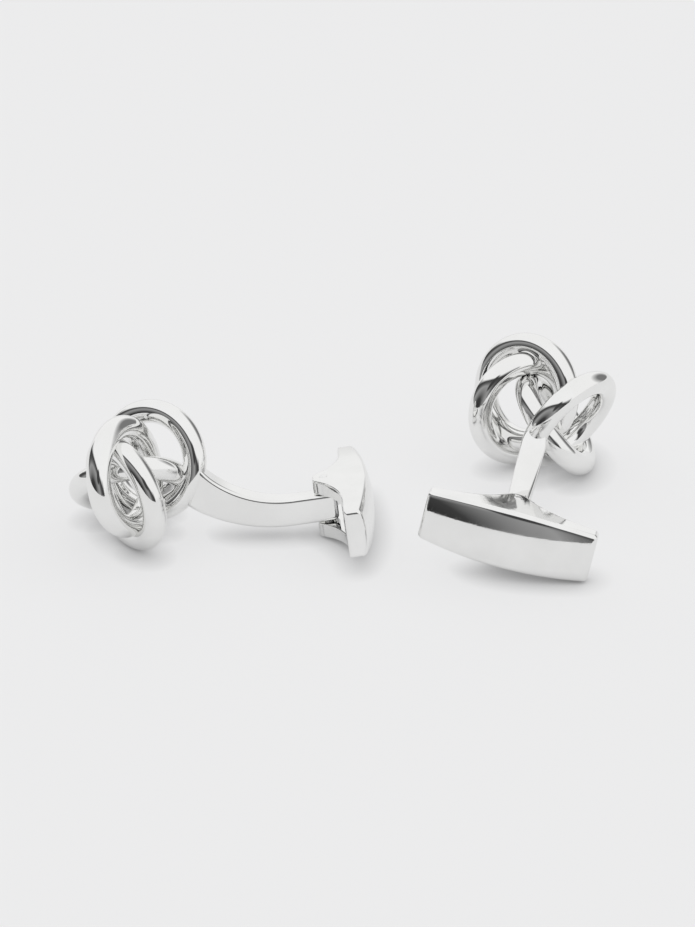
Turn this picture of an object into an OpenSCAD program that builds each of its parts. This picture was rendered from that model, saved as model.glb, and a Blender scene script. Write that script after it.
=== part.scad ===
// A pair of knot cufflinks with swivel toggles, lying on a table as in the photograph.
// Each link is drawn in its own frame: X runs from the knot's middle to the hinge pin and Y along
// the closed toggle bar. The stem's head, the pin and the toggle are drawn about the pin, which
// runs along Z there, and at_hinge() bends them up. left_link() and right_link() lay the links down.

/* [Knot] */
// Radius of each knot ring, to the middle of its wire
ring_r = 5.1; // [4.9:0.05:5.3]
// Radius of the polished round wire of the rings
wire_r = 1.25; // [1.15:0.05:1.35]

/* [Stem] */
// Distance from the knot's centre to the hinge pin
pin_x = 20.2; // [19.8:0.2:21.4]
// Thickness of the stem where it meets the knot, across its broad faces
stem_root_t = 2.7; // [2.4:0.1:2.9]
// Thickness of the stem at its hinge head, which is also the size of the square cam there
stem_head_t = 2.2; // [1.9:0.1:2.3]
// Height of the hinge head along the pin
head_h = 3; // [2.8:0.1:3.2]
// Radius of the stem's hollow upper edge
hollow_r = 11.5; // [11:0.5:13]
// Radius of the stem's round lower edge
belly_r = 17; // [15:0.5:19]

/* [Toggle] */
// Length of the toggle bar
bar_l = 18; // [16:0.5:19]
// Height of the toggle bar at its ends
bar_end_h = 5.2; // [5:0.1:5.4]
// How far each long edge of the bar swells at the middle
bar_swell = 0.6; // [0.5:0.05:0.8]
// Thickness of the bar at its ends
bar_end_t = 2; // [1.8:0.1:2.2]
// How far the bar's back bulges at the middle
back_bulge = 1.2; // [1.1:0.05:1.4]
// Radius of the back's crown across the bar
crown_r = 10; // [8:0.5:14]
// Distance from the hinge pin to the bar's front
pin_stand = 1.7; // [1.65:0.05:1.8]
// Height of the ears above the bar's front
ear_d = 2.9; // [2.8:0.1:3.2]
// Length of the ears along the bar, at their foot
ear_foot = 12; // [11:0.5:13]
// Length of the ears along the bar, at their tip
ear_tip = 1.4; // [1.2:0.1:1.8]

/* [Hinge] */
// Diameter of the hinge pin
pin_d = 1; // [0.8:0.05:1.1]
// Running clearance round the pin in the stem's head
pin_gap = 0.03; // [0.02:0.01:0.06]
// Gap between the stem's head and each ear
ear_gap = 0.15; // [0.1:0.05:0.2]
// Thickness of the leaf spring
leaf_t = 0.25; // [0.2:0.05:0.3]
// Length of the leaf spring
leaf_l = 9; // [8:0.5:10]

/* [Pair] */
// How far the left knot lies to the left of the middle
left_x = 21.7; // [20:0.2:26]
// How far the left knot lies in front of the middle
left_y = 5.28; // [5:0.2:12]
// How far the right knot lies to the right of the middle
right_x = 21.07; // [20:0.2:26]
// How far the right knot lies behind the middle
right_y = 9; // [7:0.2:12]

/* [Hidden] */

// Facets that a preview draws on the large arcs, on the rings and on small rounds
arc_fine = 720;
fine = 96;
coarse = 32;
// How far a cutting shape runs past what it cuts
over = 1;

// Where each knot ring's middle lies in the link's frame, as shares of ring_r
ring_place_shares = [
    [0.32, 0.55, 0.17], [-0.24, -0.44, 0.12], [-0.16, -0.43, -0.24], [-0.07, 0.3, -0.325]
];
// How far each ring's axis leans from the pin's direction, and its turn about that direction
ring_lean = [81, 69, 71, 43];
ring_turn = [-124, -31.5, 35, 110];

// How far the head and the toggle are bent up from the line that runs to the knot
head_bend = 18;
// Where the head's level edges end and the stem's curves start, measured back from the pin
top_flat_back = 3.2;
low_flat_back = 3.5;
// How far past the middle of the top ring's strand the stem's root starts, as a share of wire_r
root_seat_share = 0.33;
// Rounding of the head's corners, seen from its broad side and along the pin
head_round = 0.5;
cam_round = 0.4;

// The root sits on the strand of the top ring that comes nearest to the toggle
strand_x = ring_r * (ring_place_shares[0][0] + sqrt(1 - pow(ring_axis(0)[0], 2)));
root_x = strand_x + root_seat_share * wire_r;

cam_half = stem_head_t / 2;
// Radius that the cam's rounded corners sweep about the pin
cam_sweep = (cam_half - cam_round) * sqrt(2) + cam_round;

// The toggle
bar_end_x = pin_stand + bar_end_t;
back_r = arc_r(bar_l, back_bulge);
edge_r = arc_r(bar_l, bar_swell);
bar_mid_h = bar_end_h + 2 * bar_swell;
slot_h = head_h + 2 * ear_gap;
ear_tip_x = pin_stand - ear_d;
// How deep each flank of the ears is hollowed below a straight line
flank_hollow = 0.7;
// Angle over which the crowned back is swept, past both ends of the bar
back_sweep = 60;

// The leaf spring, a low bow on two flat feet
leaf_gap = 0.06;
leaf_bow = 0.4;
leaf_foot = 1.2;
leaf_side_gap = 0.1;
leaf_end_gap = 0.05;
leaf_crown_x = cam_sweep + leaf_gap;
pocket_floor_x = leaf_crown_x + leaf_bow + leaf_t;
leaf_span = leaf_l - 2 * leaf_foot;
leaf_r = arc_r(leaf_span, leaf_bow);
leaf_w = slot_h - 2 * leaf_side_gap;
pocket_l = leaf_l + 2 * leaf_end_gap;

// How each link lies: its turn on the table, and how far its toggle end dips and rolls
left_turn = 1;
left_dip = 10.48;
left_roll = -7;
right_turn = -101.4;
right_dip = 8.68;
right_roll = -12;

// Radius of the arc over a chord with the given rise at its middle
function arc_r(chord, rise) = (chord * chord / 4 + rise * rise) / (2 * rise);

// Height of a direction or place of a link's frame once that link lies dipped and rolled
function left_z(p) =
    -sin(left_dip) * p[0] + cos(left_dip) * (sin(left_roll) * p[1] + cos(left_roll) * p[2]);
function right_z(p) =
    -sin(right_dip) * p[0] + cos(right_dip) * (sin(right_roll) * p[1] + cos(right_roll) * p[2]);

// Direction of a ring's axis in the link's frame
function ring_axis(i) = [
    sin(ring_lean[i]) * cos(ring_turn[i]),
    sin(ring_lean[i]) * sin(ring_turn[i]),
    cos(ring_lean[i])
];

// Height of a ring's lowest point, from the heights of its middle and of its axis
function ring_low(middle_z, axis_z) = middle_z - ring_r * sqrt(1 - axis_z * axis_z) - wire_r;

// Height of each knot's centre above the table, with its lowest ring touching it
rings = [0:len(ring_lean) - 1];
left_rest = -min([for (i = rings) ring_low(left_z(ring_r * ring_place_shares[i]), left_z(ring_axis(i)))]);
right_rest = -min([for (i = rings) ring_low(right_z(ring_r * ring_place_shares[i]), right_z(ring_axis(i)))]);

module wire_ring(i) {
    translate(ring_r * ring_place_shares[i])
        rotate([0, ring_lean[i], ring_turn[i]])
            rotate_extrude($fn = fine)
                translate([ring_r, 0])
                    circle(r = wire_r, $fn = coarse);
}

// A ring of the knot, notched where it crosses the rings before it, as soldered wire is
module knot_ring(i) {
    difference() {
        wire_ring(i);
        if (i > 0)
            for (j = [0:i - 1])
                wire_ring(j);
    }
}

// What follows is drawn about the pin and bent up with the head
module at_hinge() {
    translate([pin_x, 0, 0])
        rotate([0, -head_bend, 0])
            children();
}

// The head seen from its broad side or along the pin: flats that end in two rounded corners
module head_outline(low_x, top_x, half, round_r) {
    polygon([
        [low_x, -half], [cam_half - round_r, -half],
        [cam_half - round_r, half], [top_x, half]
    ]);
    translate([0, round_r - half])
        square([cam_half, 2 * (half - round_r)]);
    for (side = [-1, 1])
        translate([cam_half - round_r, side * (half - round_r)])
            circle(r = round_r, $fn = coarse);
}

// The stem from its broad side: two arcs that leave the head's level edges smoothly
module stem_side() {
    difference() {
        intersection() {
            translate([-low_flat_back, belly_r - head_h / 2])
                circle(r = belly_r, $fn = arc_fine);
            translate([-pin_x, -ring_r])
                square([pin_x - top_flat_back, 3 * ring_r]);
        }
        translate([-top_flat_back, hollow_r + head_h / 2])
            circle(r = hollow_r, $fn = arc_fine);
    }
    head_outline(-low_flat_back, -top_flat_back, head_h / 2, head_round);
}

module stem_plan() {
    polygon([
        [strand_x - pin_x, -stem_root_t / 2], [-low_flat_back, -cam_half],
        [-low_flat_back, cam_half], [strand_x - pin_x, stem_root_t / 2]
    ]);
    head_outline(-low_flat_back, -low_flat_back, cam_half, cam_round);
}

module stem_body() {
    difference() {
        intersection() {
            translate([0, stem_root_t, 0])
                rotate([90, 0, 0])
                    linear_extrude(height = 2 * stem_root_t)
                        stem_side();
            translate([0, 0, -ring_r])
                linear_extrude(height = 3 * ring_r)
                    stem_plan();
        }
        translate([0, 0, -ring_r])
            cylinder(r = pin_d / 2 + pin_gap, h = 2 * ring_r, $fn = coarse);
    }
}

module stem() {
    difference() {
        intersection() {
            at_hinge()
                stem_body();
            translate([root_x, -ring_r, -ring_r])
                cube([pin_x, 2 * ring_r, 3 * ring_r]);
        }
        for (i = rings)
            wire_ring(i);
    }
}

module hinge_pin() {
    translate([0, 0, -bar_mid_h / 2])
        cylinder(d = pin_d, h = bar_mid_h, $fn = coarse);
}

// The bar seen along the pin: straight front, bulged back and the two hollow-flanked ears
module toggle_plan() {
    intersection() {
        translate([bar_end_x + back_bulge - back_r, 0])
            circle(r = back_r, $fn = arc_fine);
        translate([pin_stand, -bar_l / 2])
            square([bar_end_t + back_bulge, bar_l]);
    }
    difference() {
        translate([ear_tip_x, -ear_foot / 2])
            square([ear_d + bar_end_t / 2, ear_foot]);
        for (side = [-1, 1])
            flank_cut(side);
    }
}

// A circle through the ear's foot and tip corners, hollowing the flank between them
module flank_cut(side) {
    foot = [pin_stand, side * ear_foot / 2];
    tip = [ear_tip_x, side * ear_tip / 2];
    chord = norm(foot - tip);
    flank_r = arc_r(chord, flank_hollow);
    along = (foot - tip) / chord;
    outward = [-along[1] * side, along[0] * side];
    middle = (foot + tip) / 2 + outward * (flank_r - flank_hollow);
    translate(middle)
        circle(r = flank_r, $fn = arc_fine);
}

// The bar seen from its back: two long edges that swell at the middle
module toggle_face() {
    intersection() {
        translate([0, edge_r - bar_mid_h / 2])
            circle(r = edge_r, $fn = arc_fine);
        translate([0, bar_mid_h / 2 - edge_r])
            circle(r = edge_r, $fn = arc_fine);
        square([bar_l, bar_mid_h + over], center = true);
    }
}

// A body whose outer face is the bar's back, crowned across and swept along the bar
module toggle_back() {
    translate([bar_end_x + back_bulge - back_r, 0, 0])
        rotate([0, 0, -back_sweep / 2])
            rotate_extrude(angle = back_sweep, $fn = arc_fine)
                translate([back_r - crown_r, 0])
                    circle(r = crown_r, $fn = fine);
}

module toggle() {
    difference() {
        intersection() {
            toggle_back();
            translate([0, 0, -bar_mid_h])
                linear_extrude(height = 2 * bar_mid_h)
                    toggle_plan();
            translate([ear_tip_x - over, 0, 0])
                rotate([90, 0, 90])
                    linear_extrude(height = ear_d + bar_end_t + back_bulge + 2 * over)
                        toggle_face();
        }
        translate([ear_tip_x - over, -bar_l, -slot_h / 2])
            cube([ear_d + over, 2 * bar_l, slot_h]);
        translate([ear_tip_x, -pocket_l / 2, -slot_h / 2])
            cube([pocket_floor_x - ear_tip_x, pocket_l, slot_h]);
        translate([0, 0, -bar_mid_h])
            cylinder(d = pin_d, h = 2 * bar_mid_h, $fn = coarse);
    }
}

module leaf_plan() {
    intersection() {
        translate([leaf_crown_x + leaf_r, 0])
            difference() {
                circle(r = leaf_r, $fn = arc_fine);
                circle(r = leaf_r - leaf_t, $fn = arc_fine);
            }
        translate([leaf_crown_x, -leaf_l / 2])
            square([pocket_floor_x - leaf_crown_x, leaf_l]);
    }
    for (side = [-1, 1])
        translate([pocket_floor_x - leaf_t, side * (leaf_l - leaf_foot) / 2 - leaf_foot / 2])
            square([leaf_t, leaf_foot]);
}

module leaf_spring() {
    translate([0, 0, -leaf_w / 2])
        linear_extrude(height = leaf_w)
            leaf_plan();
}

// The knot's centre is the origin of a link's frame; the link is rolled, dipped and turned there
module left_link() {
    translate([-left_x, -left_y, left_rest])
        rotate([0, 0, left_turn])
            rotate([0, left_dip, 0])
                rotate([left_roll, 0, 0])
                    children();
}

module right_link() {
    translate([right_x, right_y, right_rest])
        rotate([0, 0, right_turn])
            rotate([0, right_dip, 0])
                rotate([right_roll, 0, 0])
                    children();
}

module left_top_ring() {
    color("silver") left_link() knot_ring(0);
}

module left_front_ring() {
    color("gainsboro") left_link() knot_ring(1);
}

module left_low_ring() {
    color("lightgray") left_link() knot_ring(2);
}

module left_back_ring() {
    color("whitesmoke") left_link() knot_ring(3);
}

module left_stem() {
    color("lightsteelblue") left_link() stem();
}

module left_hinge_pin() {
    color("slategray") left_link() at_hinge() hinge_pin();
}

module left_toggle() {
    color("silver") left_link() at_hinge() toggle();
}

module left_leaf_spring() {
    color("lightslategray") left_link() at_hinge() leaf_spring();
}

module right_top_ring() {
    color("silver") right_link() knot_ring(0);
}

module right_front_ring() {
    color("gainsboro") right_link() knot_ring(1);
}

module right_low_ring() {
    color("lightgray") right_link() knot_ring(2);
}

module right_back_ring() {
    color("whitesmoke") right_link() knot_ring(3);
}

module right_stem() {
    color("lightsteelblue") right_link() stem();
}

module right_hinge_pin() {
    color("slategray") right_link() at_hinge() hinge_pin();
}

module right_toggle() {
    color("silver") right_link() at_hinge() toggle();
}

module right_leaf_spring() {
    color("lightslategray") right_link() at_hinge() leaf_spring();
}

left_top_ring();
left_front_ring();
left_low_ring();
left_back_ring();
left_stem();
left_hinge_pin();
left_toggle();
left_leaf_spring();
right_top_ring();
right_front_ring();
right_low_ring();
right_back_ring();
right_stem();
right_hinge_pin();
right_toggle();
right_leaf_spring();
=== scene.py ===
import math

import bmesh
import bpy
from mathutils import Matrix, Vector


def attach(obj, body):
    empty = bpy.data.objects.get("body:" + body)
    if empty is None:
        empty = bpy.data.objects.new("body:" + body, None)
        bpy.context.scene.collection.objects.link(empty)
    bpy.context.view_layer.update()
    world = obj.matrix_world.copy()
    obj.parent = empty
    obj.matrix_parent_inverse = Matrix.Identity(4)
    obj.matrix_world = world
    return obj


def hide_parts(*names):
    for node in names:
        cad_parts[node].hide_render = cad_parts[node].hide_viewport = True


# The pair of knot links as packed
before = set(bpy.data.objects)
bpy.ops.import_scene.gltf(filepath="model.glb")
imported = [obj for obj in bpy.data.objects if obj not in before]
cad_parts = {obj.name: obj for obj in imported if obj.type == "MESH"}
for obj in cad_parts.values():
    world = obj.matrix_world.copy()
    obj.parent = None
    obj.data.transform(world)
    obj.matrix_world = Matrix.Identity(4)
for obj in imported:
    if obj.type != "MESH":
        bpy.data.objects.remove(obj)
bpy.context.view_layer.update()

MM = 0.001
UP = Vector((0.0, 0.0, 1.0))

# Lay of the two links as in the part's source: knot's place in millimetres, then turn, dip and roll
LAY = {
    "left": ((-21.7, -5.28), 1.0, 10.48, -7.0),
    "right": ((21.07, 9.0), -101.4, 8.68, -12.0),
}

# Knot rings in millimetres: middle as shares of the ring's radius, lean of the axis and its turn
RING_RADIUS = 5.1
WIRE_RADIUS = 1.25
WIRE_SIDES = 48
RING_STEPS = 192
RINGS = {
    "top_ring": ((0.32, 0.55, 0.17), 81.0, -124.0),
    "front_ring": ((-0.24, -0.44, 0.12), 69.0, -31.5),
    "low_ring": ((-0.16, -0.43, -0.24), 71.0, 35.0),
    "back_ring": ((-0.07, 0.3, -0.325), 43.0, 110.0),
}

# Stem and toggle in millimetres about the hinge pin, as in the part's source
PIN_X = 20.2
HEAD_BEND = math.radians(18.0)
HEAD_HALF_HEIGHT = 1.5
HEAD_HALF_WIDTH = 1.1
HEAD_ROUND = 0.5
CAM_ROUND = 0.4
LOW_FLAT_BACK = 3.5
TOP_FLAT_BACK = 3.2
BELLY_RADIUS = 17.0
HOLLOW_RADIUS = 11.5
ROOT_HALF_WIDTH = 1.35
TAPER_LENGTH = 10.8
BAR_LENGTH = 18.0
BAR_FRONT = 1.7
BAR_BACK = 3.7
BAR_END_HEIGHT = 5.2
BAR_SWELL = 0.6
BACK_BULGE = 1.2
CROWN_RADIUS = 10.0
EAR_TIP_X = -1.2
EAR_TIP = 1.4
EAR_FOOT = 12.0
FLANK_HOLLOW = 0.7
SLOT_HALF = 1.65
POCKET_FLOOR = 2.1
POCKET_HALF_LENGTH = 4.55

# Where the stem's root ends inside the ring's wire, and how much narrower it is drawn there
ROOT_LOW_X = -14.9
ROOT_TOP_X = -12.9
ROOT_DRAW_IN = 1.8
ROOT_NARROWER = 0.6

# Hinge pin in millimetres, with the rounding of its riveted ends
PIN_RADIUS = 0.5
PIN_HALF_LENGTH = 3.26
PIN_ROUND = 0.2

# Polished-down corners in millimetres: stem's edges, bar's edges and ends, ears' inner edges and
# tips, and the least rounding that an outline keeps where it is drawn in
STEM_EDGE = 0.38
BAR_EDGE = 0.25
BAR_BACK_EDGE = 0.4
BAR_END_ROUND = 0.42
EAR_EDGE = 0.1
TIP_ROUND = 0.3
LEAST_ROUND = 0.04
# The slot's edges take at most a share of its depth, and none where it is shallower than the least
EDGE_SHARE = 0.4
LEAST_DEPTH = 0.01
# Run of the pocket's steep end walls
POCKET_WALL = 0.01

# Fineness of the castings' and pins' meshes, and the shares at which the ears' tips and the flat
# sides are divided
CORNER_STEPS = 5
END_STEPS = 6
STEM_STEPS = 150
STATION_STEP = 0.12
STATION_DIGITS = 4
PIN_STEPS = 48
TIP_SHARES = (-1, -0.75, -0.5, -0.25, 0, 0.25, 0.5, 0.75, 1)
SIDE_SHARES = (0.04, 0.2, 0.4, 0.6, 0.8, 0.96)

# Distances under which a mesh's points are merged, and its edges taken as nothing, in metres
MERGE_WITHIN = 1e-6
NO_LENGTH = 1e-7
# How far a casting's broad faces outweigh its narrow ones in its shading, at most 100
BROAD_WEIGHT = 100

# Noise patterns of the polished metal as scale a metre, detail and roughness
CLOUDS = (260.0, 3.0, 0.5)
BUFFING_HAZE = (900.0, 5.0, 0.6)
POLISHED_WAVES = (170.0, 1.0, 0.5)
SCUFFS = (1.0, 2.0, 0.5)
# Scuffs run one way: how their coordinates are stretched and then turned, in radians
SCUFF_SCALES = (600.0, 5200.0, 5200.0)
SCUFF_TURN = (0.3, 0.2, 0.5)
WAVE_DEPTH = 0.4 * MM
SCUFF_DEPTH = 0.01 * MM
# Part of a noise pattern's range that is spread over the wanted values
NOISE_MIDDLE = (0.3, 0.7)

# Photograph's viewpoint: lens and sensor are in millimetres, the other lengths in metres
AIM = Vector((0.27, 10.0, 0.0)) * MM
CAMERA_ELEVATION = math.radians(29.1)
TO_CAMERA = Vector((0.0, -math.cos(CAMERA_ELEVATION), math.sin(CAMERA_ELEVATION)))
CAMERA_DISTANCE = 0.6
LENS = 218.4
SENSOR_WIDTH = 36.0
NEAREST_SEEN = 0.01
FARTHEST_SEEN = 20.0

# Blue in the studio's greys, as a share of their tone
BLUE_SHARE = 1.005

# Table: its finish, and how much of it the eye and then the mirrors see as evenly lit paper
TABLE_WIDTH = 4.0
TABLE_COLOUR = (0.86, 0.86, 0.862)
TABLE_ROUGHNESS = 0.75
TABLE_GLOSS = 0.2
PAPER_TONE = 0.87
EVEN_SHARE = 0.76
MIRRORED_SHARE = 0.54
# Painted contact shadow: how near the silver it darkens that paper, and how deeply
PAINTED_SHADOW_REACH = 2.7 * MM
PAINTED_SHADOW_DEPTH = 0.6

# White tent with a dark oval opening to the left of the camera: the way to its middle, and its half
# width and half height as shares of a ray's length
OPENING_AZIMUTH = math.radians(-135.0)
TO_OPENING = Vector((math.cos(OPENING_AZIMUTH), math.sin(OPENING_AZIMUTH), 0.0))
ACROSS_OPENING = Vector((-TO_OPENING.y, TO_OPENING.x, 0.0))
OPENING_HALF_WIDTH = 1.05
OPENING_HALF_HEIGHT = 0.76
# Tones across the opening, from its middle out to the white fabric
OPENING_TONES = (
    (0.0, 0.02), (0.34, 0.05), (0.58, 0.22), (0.76, 0.32), (0.87, 0.1), (0.95, 0.04), (0.975, 0.5),
    (1.0, 0.93))
# Dark things in the tent: the way to each, cosines between which its outline fades, its tone
TO_FLAG = Vector((0.75, 0.63, 0.2)).normalized()
DARK_THINGS = ((TO_CAMERA, (0.97, 0.985), 0.05), (TO_FLAG, (0.86, 0.97), 0.2))
# Behind the links the fabric starts grey above the table and is white from this height up
FABRIC_LOW_TONE = 0.8
FABRIC_WHITE_FROM = 0.12

# Soft lamps above the table: place in metres, width and watts
LAMPS = {
    "key": ((-0.5, -0.2, 0.9), 0.7, 0.92),
    "fill": ((0.7, 0.3, 0.7), 0.6, 0.46),
}


def link_turn(side):
    """How a link's own frame is turned: rolled, then dipped, then turned on the table."""
    turn, dip, roll = (math.radians(angle) for angle in LAY[side][1:])
    lie = Matrix.Rotation(turn, 4, "Z") @ Matrix.Rotation(dip, 4, "Y")
    return lie @ Matrix.Rotation(roll, 4, "X")


def ring_matrix(ring):
    """The place of a ring in its link's own frame, its axis along Z."""
    share, lean, turn = RINGS[ring]
    place = Matrix.Translation(Vector(share) * RING_RADIUS * MM)
    place = place @ Matrix.Rotation(math.radians(turn), 4, "Z")
    return place @ Matrix.Rotation(math.radians(lean), 4, "Y")


def link_matrix(side):
    """The place of a link's own frame, with its lowest ring on the table, in metres."""
    lie = link_turn(side)
    lows = []
    for ring in RINGS:
        placed = lie @ ring_matrix(ring)
        drop = RING_RADIUS * math.sqrt(1 - placed.col[2].z ** 2) + WIRE_RADIUS
        lows.append(placed.translation.z - drop * MM)
    x, y = LAY[side][0]
    return Matrix.Translation((x * MM, y * MM, -min(lows))) @ lie


def hinge_matrix(side):
    """The place of a link's hinge, its pin along Z and its toggle ahead of it along X."""
    return (link_matrix(side) @ Matrix.Translation((PIN_X * MM, 0, 0))
            @ Matrix.Rotation(-HEAD_BEND, 4, "Y"))


def grey(tone):
    """The studio's grey of a tone, very slightly cool."""
    return (tone, tone, tone * BLUE_SHARE, 1.0)


def feed(node, inputs):
    """Gives each input of a node its value, or another node's output."""
    for key, value in inputs.items():
        if isinstance(value, bpy.types.NodeSocket):
            node.id_data.links.new(value, node.inputs[key])
        else:
            node.inputs[key].default_value = value


def add_node(tree, kind, inputs, **settings):
    """Adds a node of a kind to a tree, with its settings and its inputs."""
    node = tree.nodes.new(kind)
    for key, value in settings.items():
        setattr(node, key, value)
    feed(node, inputs)
    return node


def math_step(tree, operation, *values):
    """The result of one operation on plain numbers or other nodes' outputs."""
    step = add_node(tree, "ShaderNodeMath", dict(enumerate(values)), operation=operation)
    return step.outputs["Value"]


def mix_colours(tree, share, first, second):
    """A colour that goes from a first one to a second one as a share grows."""
    mix = add_node(
        tree, "ShaderNodeMix", {"Factor": share, "A": first, "B": second}, data_type="RGBA")
    return mix.outputs["Result"]


def noise(tree, coordinate, scale, detail, roughness):
    """A noise pattern on given coordinates."""
    pattern = add_node(tree, "ShaderNodeTexNoise", {
        "Vector": coordinate, "Scale": scale, "Detail": detail, "Roughness": roughness})
    return pattern.outputs["Fac"]


def spread(tree, pattern, low, high):
    """A pattern's middle range spread over two wanted values."""
    ranged = add_node(tree, "ShaderNodeMapRange", {
        "Value": pattern, "From Min": NOISE_MIDDLE[0], "From Max": NOISE_MIDDLE[1],
        "To Min": low, "To Max": high})
    return ranged.outputs["Result"]


def new_material(name):
    """A fresh material and its node tree."""
    material = bpy.data.materials.new(name)
    material.use_nodes = True
    return material, material.node_tree


def polished_metal(name, bright, dull, rough, waviness, scuff):
    """Metal with faint clouds, buffing haze, fine scuffs and a soft hand-polished wave."""
    material, tree = new_material(name)
    place = add_node(tree, "ShaderNodeTexCoord", {}).outputs["Object"]
    clouds = spread(tree, noise(tree, place, *CLOUDS), 0.0, 1.0)
    haze = spread(tree, noise(tree, place, *BUFFING_HAZE), *rough)
    stretched = add_node(tree, "ShaderNodeMapping", {
        "Vector": place, "Scale": SCUFF_SCALES, "Rotation": SCUFF_TURN})
    waves = add_node(tree, "ShaderNodeBump", {
        "Height": noise(tree, place, *POLISHED_WAVES),
        "Strength": waviness, "Distance": WAVE_DEPTH})
    scuffs = add_node(tree, "ShaderNodeBump", {
        "Height": noise(tree, stretched.outputs["Vector"], *SCUFFS),
        "Strength": scuff, "Distance": SCUFF_DEPTH, "Normal": waves.outputs["Normal"]})
    feed(tree.nodes["Principled BSDF"], {
        "Base Color": mix_colours(tree, clouds, (*dull, 1.0), (*bright, 1.0)),
        "Metallic": 1.0, "Roughness": haze, "Normal": scuffs.outputs["Normal"]})
    return material


RING_SILVER = polished_metal(
    "polished_silver_wire", bright=(0.92, 0.92, 0.912), dull=(0.88, 0.88, 0.87),
    rough=(0.04, 0.08), waviness=0.04, scuff=0.05)
CAST_SILVER = polished_metal(
    "polished_silver_cast", bright=(0.92, 0.92, 0.912), dull=(0.87, 0.87, 0.86),
    rough=(0.035, 0.08), waviness=0.05, scuff=0.08)
PIN_SILVER = polished_metal(
    "filed_silver_pin", bright=(0.9, 0.9, 0.895), dull=(0.82, 0.82, 0.815),
    rough=(0.12, 0.2), waviness=0.05, scuff=0.25)
SPRING_STEEL = polished_metal(
    "brushed_spring_steel", bright=(0.74, 0.74, 0.745), dull=(0.62, 0.62, 0.63),
    rough=(0.2, 0.34), waviness=0.04, scuff=0.5)


def dress(node, material):
    """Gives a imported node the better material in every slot."""
    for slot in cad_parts[node].material_slots:
        slot.material = material


def mesh_object(name, work, material):
    """A finished mesh with its material, as an object in the scene."""
    mesh = bpy.data.meshes.new(name)
    work.to_mesh(mesh)
    work.free()
    mesh.materials.append(material)
    made = bpy.data.objects.new(name, mesh)
    bpy.context.scene.collection.objects.link(made)
    return made


def finish_piece(name, work, material, body, node):
    """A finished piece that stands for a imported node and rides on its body."""
    piece = mesh_object(name, work, material)
    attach(piece, body)
    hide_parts(node)
    return piece


def smooth_skin(work, place):
    """Merges a mesh's doubled points, turns its faces outwards and smooth, and puts it in place."""
    bmesh.ops.remove_doubles(work, verts=work.verts, dist=MERGE_WITHIN)
    bmesh.ops.dissolve_degenerate(work, edges=work.edges, dist=NO_LENGTH)
    bmesh.ops.recalc_face_normals(work, faces=work.faces)
    for face in work.faces:
        face.smooth = True
    bmesh.ops.transform(work, matrix=place, verts=work.verts)


def wire_ring(side, ring):
    """One closed ring of polished wire, spun smooth enough for mirror reflections."""
    work = bmesh.new()
    circle = bmesh.ops.create_circle(
        work, cap_ends=False, radius=WIRE_RADIUS * MM, segments=WIRE_SIDES)["verts"]
    bmesh.ops.rotate(
        work, verts=circle, cent=(0, 0, 0), matrix=Matrix.Rotation(math.pi / 2, 3, "X"))
    bmesh.ops.translate(work, verts=circle, vec=(RING_RADIUS * MM, 0, 0))
    bmesh.ops.spin(
        work, geom=list(work.verts) + list(work.edges), cent=(0, 0, 0), axis=(0, 0, 1),
        angle=2 * math.pi, steps=RING_STEPS, use_merge=True, use_duplicate=False)
    smooth_skin(work, link_matrix(side) @ ring_matrix(ring))
    finish_piece(
        f"{side}_{ring}_wire", work, RING_SILVER,
        f"{side}_link", f"{side}_{ring}")


def arc_radius(chord, rise):
    """The radius of an arc that rises so far over its chord."""
    return (chord * chord / 4 + rise * rise) / (2 * rise)


def rounded_loop(corners):
    """Points round a right-angled outline whose corners are (across, up, radius)."""
    points = []
    for index, (across, up, radius) in enumerate(corners):
        here = Vector((across, up))
        into = (here - Vector(corners[index - 1][:2])).normalized()
        after = corners[(index + 1) % len(corners)]
        out = (Vector(after[:2]) - here).normalized()
        centre = here - into * radius + out * radius
        for step in range(CORNER_STEPS + 1):
            angle = math.pi / 2 * step / CORNER_STEPS
            points.append(centre + (into * math.sin(angle) - out * math.cos(angle)) * radius)
        end, start = points[-1], Vector(after[:2]) - out * after[2]
        points.extend(end.lerp(start, share) for share in SIDE_SHARES)
    return points


def lofted_cast(side, name, body, loops):
    """A casting: an outline drawn out through a row of loops, in millimetres about the hinge."""
    work = bmesh.new()
    start = [work.verts.new(Vector(point) * MM) for point in loops[0]]
    end = work.faces.new(start)
    for loop in loops[1:]:
        end = bmesh.ops.extrude_discrete_faces(work, faces=[end])["faces"][0]
        for corner, point in zip(end.verts, loop):
            corner.co = Vector(point) * MM
    work.faces.new(start)
    smooth_skin(work, hinge_matrix(side))
    piece = finish_piece(
        f"{side}_{name}_cast", work, CAST_SILVER,
        f"{side}_{body}", f"{side}_{name}")
    # Broad faces keep their own shading up to the narrow rounded corners
    even = piece.modifiers.new("even_shading", "WEIGHTED_NORMAL")
    even.weight = BROAD_WEIGHT
    even.keep_sharp = False


def head_corner(x):
    """How much lower the head's rounded end corners are than its level edges."""
    end = max(0.0, x - (HEAD_HALF_WIDTH - HEAD_ROUND))
    return HEAD_ROUND - math.sqrt(max(0.0, HEAD_ROUND ** 2 - end ** 2))


def stem_low(x):
    """The stem's round lower edge, an arc that ends in the level head."""
    back = min(0.0, x + LOW_FLAT_BACK)
    rise = BELLY_RADIUS - math.sqrt(BELLY_RADIUS ** 2 - back ** 2)
    return -HEAD_HALF_HEIGHT + rise + head_corner(x)


def stem_top(x):
    """The stem's hollow upper edge, an arc that ends in the level head."""
    back = min(0.0, x + TOP_FLAT_BACK)
    rise = HOLLOW_RADIUS - math.sqrt(HOLLOW_RADIUS ** 2 - back ** 2)
    return HEAD_HALF_HEIGHT + rise - head_corner(x)


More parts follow.
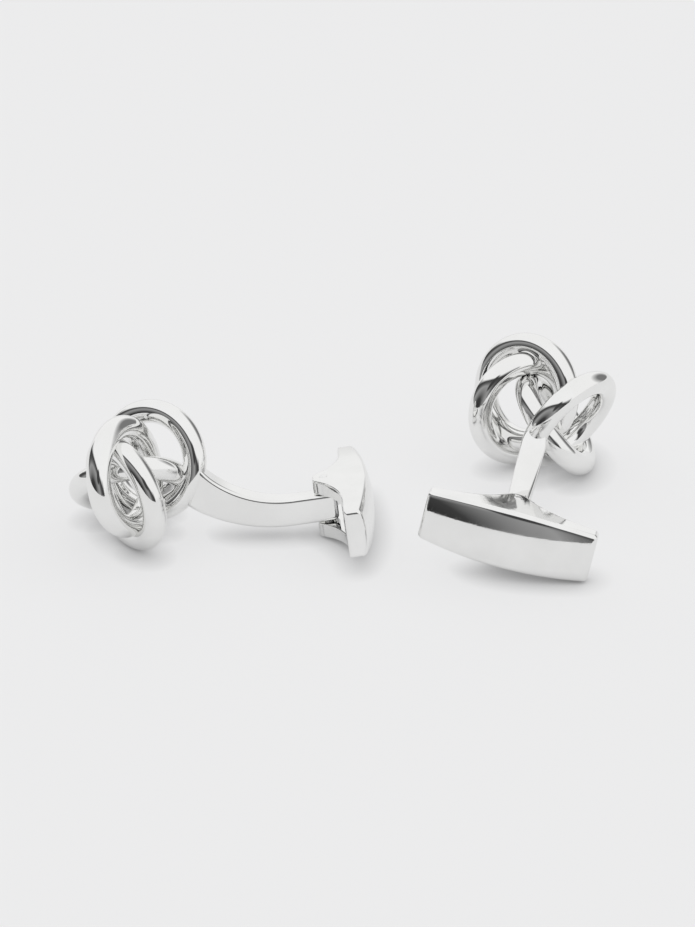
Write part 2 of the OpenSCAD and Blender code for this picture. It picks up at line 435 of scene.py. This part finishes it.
def stem_half_width(x):
    """Half the stem's thickness: tapered to the head, rounded at its end, drawn in at the knot."""
    back = max(0.0, -LOW_FLAT_BACK - x)
    width = HEAD_HALF_WIDTH + (ROOT_HALF_WIDTH - HEAD_HALF_WIDTH) * back / TAPER_LENGTH
    end = max(0.0, x - (HEAD_HALF_WIDTH - CAM_ROUND))
    width += math.sqrt(max(0.0, CAM_ROUND ** 2 - end ** 2)) - CAM_ROUND
    drawn_in = max(0.0, 1 - (x - ROOT_LOW_X) / ROOT_DRAW_IN)
    return width - ROOT_NARROWER * drawn_in ** 2


def stem_cast(side):
    """The curved stem with its cam head, its long edges rounded by the polishing wheel."""
    straight = HEAD_HALF_WIDTH - HEAD_ROUND
    shares = [step / STEM_STEPS for step in range(STEM_STEPS)]
    places = [(ROOT_LOW_X + (straight - ROOT_LOW_X) * share,
               ROOT_TOP_X + (straight - ROOT_TOP_X) * share) for share in shares]
    for step in range(END_STEPS + 1):
        x = straight + HEAD_ROUND * math.sin(math.pi / 2 * step / END_STEPS)
        places.append((x, x))
    loops = []
    for low_x, top_x in places:
        low = Vector((low_x, stem_low(low_x)))
        top = Vector((top_x, stem_top(top_x)))
        tall = (top - low).length
        half = stem_half_width(low_x)
        outline = rounded_loop([
            (-half, 0.0, STEM_EDGE), (half, 0.0, STEM_EDGE),
            (half, tall, STEM_EDGE), (-half, tall, STEM_EDGE)])
        loop = []
        for point in outline:
            place = low.lerp(top, point.y / tall)
            loop.append((place.x, point.x, place.y))
        loops.append(loop)
    lofted_cast(side, "stem", "link", loops)


def ear_front(y):
    """How far forward the two ears reach at a place along the bar: a tip with hollow flanks."""
    away = abs(y)
    foot, tip = Vector((BAR_FRONT, EAR_FOOT / 2)), Vector((EAR_TIP_X, EAR_TIP / 2))
    along_flank = (foot - tip).normalized()
    radius = arc_radius((foot - tip).length, FLANK_HOLLOW)
    centre = (foot + tip) / 2
    centre += Vector((-along_flank.y, along_flank.x)) * (radius - FLANK_HOLLOW)
    if away >= foot.y:
        return BAR_FRONT
    slope = (centre.y - tip.y) / math.sqrt(radius ** 2 - (centre.y - tip.y) ** 2)
    past = max(0.0, away - (tip.y - TIP_ROUND))
    corner = tip.x + slope * min(past, 2 * TIP_ROUND) ** 2 / (4 * TIP_ROUND)
    if away <= tip.y:
        return min(BAR_FRONT, corner)
    flank = centre.x + math.sqrt(radius ** 2 - (away - centre.y) ** 2)
    return min(BAR_FRONT, max(corner, flank))


def toggle_stations():
    """Places along the bar, each with how far its outline is drawn in by the rounded ends."""
    level = BAR_LENGTH / 2 - BAR_END_ROUND
    ends = []
    for step in range(1, END_STEPS + 1):
        angle = math.pi / 2 * step / END_STEPS
        ends.append((level + BAR_END_ROUND * math.sin(angle),
                     BAR_END_ROUND * (1 - math.cos(angle))))
    count = round(2 * level / STATION_STEP)
    middle = {round(-level + 2 * level * step / count, STATION_DIGITS)
              for step in range(count + 1)}
    for edge in (-1, 1):
        middle.update(round(edge * (EAR_TIP / 2 + TIP_ROUND * share), STATION_DIGITS)
                      for share in TIP_SHARES)
        middle.update((edge * POCKET_HALF_LENGTH, edge * (POCKET_HALF_LENGTH + POCKET_WALL)))
        middle.add(edge * EAR_FOOT / 2)
    return ([(-y, inset) for y, inset in reversed(ends)]
            + [(y, 0.0) for y in sorted(middle)] + ends)


def toggle_cast(side):
    """The swivel bar: swelling edges, crowned and bulged back, two ears, slot and pocket."""
    back_radius = arc_radius(BAR_LENGTH, BACK_BULGE)
    edge_radius = arc_radius(BAR_LENGTH, BAR_SWELL)
    loops = []
    for y, inset in toggle_stations():
        high = BAR_END_HEIGHT / 2 + BAR_SWELL - edge_radius
        high += math.sqrt(edge_radius ** 2 - y * y) - inset
        back = BAR_BACK + BACK_BULGE - back_radius + math.sqrt(back_radius ** 2 - y * y) - inset
        front = ear_front(y) + inset
        floor = (POCKET_FLOOR if abs(y) <= POCKET_HALF_LENGTH else BAR_FRONT) + inset
        depth = floor - front
        outer = max(BAR_EDGE - inset, LEAST_ROUND)
        rear = max(BAR_BACK_EDGE - inset, LEAST_ROUND)
        inner = min(EAR_EDGE, EDGE_SHARE * depth) if depth > LEAST_DEPTH else 0.0
        outline = rounded_loop([
            (front, -high, outer), (back, -high, rear), (back, high, rear),
            (front, high, outer), (front, SLOT_HALF, inner), (floor, SLOT_HALF, inner),
            (floor, -SLOT_HALF, inner), (front, -SLOT_HALF, inner)])
        loop = []
        for point in outline:
            crown = CROWN_RADIUS - math.sqrt(CROWN_RADIUS ** 2 - point.y ** 2)
            share = max(0.0, (point.x - floor) / (back - floor))
            loop.append((point.x - crown * share, y, point.y))
        loops.append(loop)
    lofted_cast(side, "toggle", "bar", loops)


def riveted_pin(side):
    """The hinge pin, its two ends riveted to low domes that stand barely proud of the ears."""
    profile = [(0.0, -PIN_HALF_LENGTH)]
    for end in (-1, 1):
        rounding = []
        for step in range(END_STEPS + 1):
            angle = math.pi / 2 * step / END_STEPS
            rounding.append((PIN_RADIUS - PIN_ROUND * (1 - math.sin(angle)),
                             end * (PIN_HALF_LENGTH - PIN_ROUND * (1 - math.cos(angle)))))
        profile.extend(rounding if end < 0 else reversed(rounding))
    profile.append((0.0, PIN_HALF_LENGTH))
    work = bmesh.new()
    points = [work.verts.new((x * MM, 0.0, z * MM)) for x, z in profile]
    edges = [work.edges.new(pair) for pair in zip(points, points[1:])]
    bmesh.ops.spin(
        work, geom=points + edges, cent=(0, 0, 0), axis=(0, 0, 1),
        angle=2 * math.pi, steps=PIN_STEPS, use_merge=True, use_duplicate=False)
    smooth_skin(work, hinge_matrix(side))
    finish_piece(
        f"{side}_hinge_pin_rivet", work, PIN_SILVER,
        f"{side}_bar", f"{side}_hinge_pin")


def table_paper():
    """Pale paper that the camera and the mirrors see softly lit, with a painted contact shadow
    close to the silver.
    """
    material, tree = new_material("pale_table_top")
    # Painted contact shadow: ambient occlusion dims the paper's even glow close to the silver
    painted_shadow = add_node(tree, "ShaderNodeAmbientOcclusion", {"Distance": PAINTED_SHADOW_REACH})
    paper_and_painted_shadow = add_node(tree, "ShaderNodeEmission", {
        "Color": grey(PAPER_TONE),
        "Strength": math_step(tree, "POWER", painted_shadow.outputs["AO"], PAINTED_SHADOW_DEPTH)})
    rays = add_node(tree, "ShaderNodeLightPath", {})
    eye = math_step(tree, "MULTIPLY", rays.outputs["Is Camera Ray"], EVEN_SHARE)
    share = math_step(tree, "MULTIPLY_ADD", rays.outputs["Is Glossy Ray"], MIRRORED_SHARE, eye)
    shader = tree.nodes["Principled BSDF"]
    feed(shader, {
        "Base Color": (*TABLE_COLOUR, 1.0), "Roughness": TABLE_ROUGHNESS,
        "Specular IOR Level": TABLE_GLOSS})
    blend = add_node(tree, "ShaderNodeMixShader", {
        "Fac": share, 1: shader.outputs["BSDF"], 2: paper_and_painted_shadow.outputs["Emission"]})
    feed(tree.nodes["Material Output"], {"Surface": blend.outputs["Shader"]})
    return material


def pale_table():
    """The studio's plain pale table top."""
    work = bmesh.new()
    bmesh.ops.create_grid(work, x_segments=1, y_segments=1, size=TABLE_WIDTH / 2)
    table = mesh_object("table", work, table_paper())


def soft_box(name):
    """A square soft lamp aimed at the middle of the table, out of the mirrors' sight."""
    place, width, watts = LAMPS[name]
    lamp = bpy.data.lights.new(name, "AREA")
    lamp.shape = "SQUARE"
    lamp.size = width
    lamp.energy = watts
    holder = bpy.data.objects.new(name, lamp)
    holder.location = place
    holder.rotation_euler = (-Vector(place)).to_track_quat("-Z", "Y").to_euler()
    holder.visible_glossy = False
    bpy.context.scene.collection.objects.link(holder)


def along(tree, direction, axis):
    """How far a direction runs along an axis."""
    product = add_node(
        tree, "ShaderNodeVectorMath", {0: direction, 1: axis}, operation="DOT_PRODUCT")
    return product.outputs["Value"]


def tent_opening(tree, direction):
    """The tones of the tent's dark oval opening, from its middle out to the fabric."""
    wide = math_step(tree, "DIVIDE", along(tree, direction, ACROSS_OPENING), OPENING_HALF_WIDTH)
    tall = math_step(tree, "DIVIDE", along(tree, direction, UP), OPENING_HALF_HEIGHT)
    squares = math_step(
        tree, "ADD", math_step(tree, "POWER", wide, 2.0), math_step(tree, "POWER", tall, 2.0))
    opening = add_node(tree, "ShaderNodeValToRGB", {"Fac": math_step(tree, "SQRT", squares)})
    stops = opening.color_ramp.elements
    for reach, _ in OPENING_TONES[1:-1]:
        stops.new(reach)
    for stop, (_, tone) in zip(stops, OPENING_TONES):
        stop.color = grey(tone)
    return opening.outputs["Color"]


def tent_fabric(tree, direction):
    """The tones of the tent's fabric, from grey just above the table to white higher up."""
    fabric = add_node(tree, "ShaderNodeMapRange", {
        "Value": along(tree, direction, UP), "From Min": 0.0, "From Max": FABRIC_WHITE_FROM,
        "To Min": FABRIC_LOW_TONE, "To Max": OPENING_TONES[-1][1]})
    return fabric.outputs["Result"]


def studio_world():
    """A white tent with its dark oval opening and dark things, as polished silver shows it."""
    world = bpy.data.worlds.new("studio")
    world.use_nodes = True
    tree = world.node_tree
    direction = add_node(tree, "ShaderNodeTexCoord", {}).outputs["Generated"]
    before = math_step(tree, "GREATER_THAN", along(tree, direction, TO_OPENING), 0.0)
    seen = mix_colours(tree, before, tent_fabric(tree, direction), tent_opening(tree, direction))
    for way, (outline, inside), tone in DARK_THINGS:
        cover = add_node(tree, "ShaderNodeMapRange", {
            "Value": along(tree, direction, way), "From Min": outline, "From Max": inside})
        seen = mix_colours(tree, cover.outputs["Result"], seen, grey(tone))
    feed(tree.nodes["Background"], {"Color": seen, "Strength": 1.0})
    bpy.context.scene.world = world


def photograph_camera():
    """The camera at the photograph's angle, aimed between the two links."""
    lens = bpy.data.cameras.new("camera")
    lens.lens = LENS
    lens.sensor_width = SENSOR_WIDTH
    lens.clip_start = NEAREST_SEEN
    lens.clip_end = FARTHEST_SEEN
    camera = bpy.data.objects.new("camera", lens)
    camera.location = AIM + CAMERA_DISTANCE * TO_CAMERA
    camera.rotation_euler = (math.pi / 2 - CAMERA_ELEVATION, 0.0, 0.0)
    bpy.context.scene.collection.objects.link(camera)
    bpy.context.scene.camera = camera


for side in LAY:
    for ring in RINGS:
        wire_ring(side, ring)
    stem_cast(side)
    toggle_cast(side)
    riveted_pin(side)
    dress(f"{side}_leaf_spring", SPRING_STEEL)

pale_table()
for name in LAMPS:
    soft_box(name)
studio_world()
photograph_camera()
bpy.context.scene.view_settings.view_transform = "Standard"
